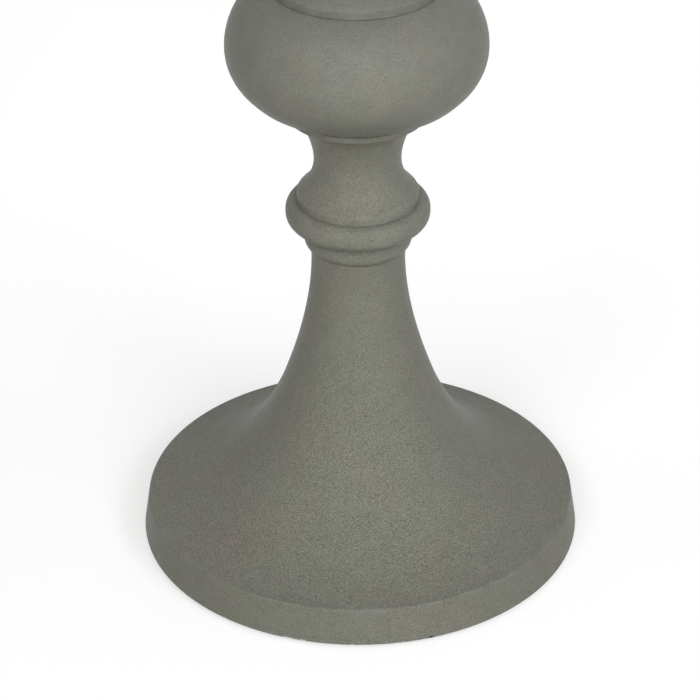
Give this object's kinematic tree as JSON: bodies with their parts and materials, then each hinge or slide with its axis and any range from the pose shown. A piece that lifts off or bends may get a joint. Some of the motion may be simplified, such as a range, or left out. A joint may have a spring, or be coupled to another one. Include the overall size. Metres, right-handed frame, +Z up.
{
  "type": "candle holder",
  "caption": "Tall turned-style metal candle holder: flared foot, ringed stem, round bulb and a rimmed dish with a spike.",
  "frame": {"origin": "middle of the foot, on the table under the felt pads", "axes": "+Z up along the stem, -Y towards the viewer of the picture"},
  "size_m": [0.16, 0.16, 0.3399],
  "materials": {
    "sand_coat": "matt grey-green powder coat with a fine sandy grain, over cast aluminium",
    "zinc_steel": "bright zinc-plated steel",
    "felt": "dark pressed felt"
  },
  "bodies": {
    "root": {"foot_casting": "sand_coat", "felt_pads": "felt", "clamp_plate": "zinc_steel", "foot_spring_washer": "zinc_steel", "foot_nut": "zinc_steel", "tie_rod": "zinc_steel", "collar_ring": "sand_coat", "knop_ring": "sand_coat", "neck_casting": "sand_coat", "bulb_casting": "sand_coat", "riser_casting": "sand_coat", "upper_ring": "sand_coat", "bell_casting": "sand_coat", "dish_casting": "sand_coat", "top_spring_washer": "zinc_steel", "spike": "sand_coat"}
  },
  "joints": []
}
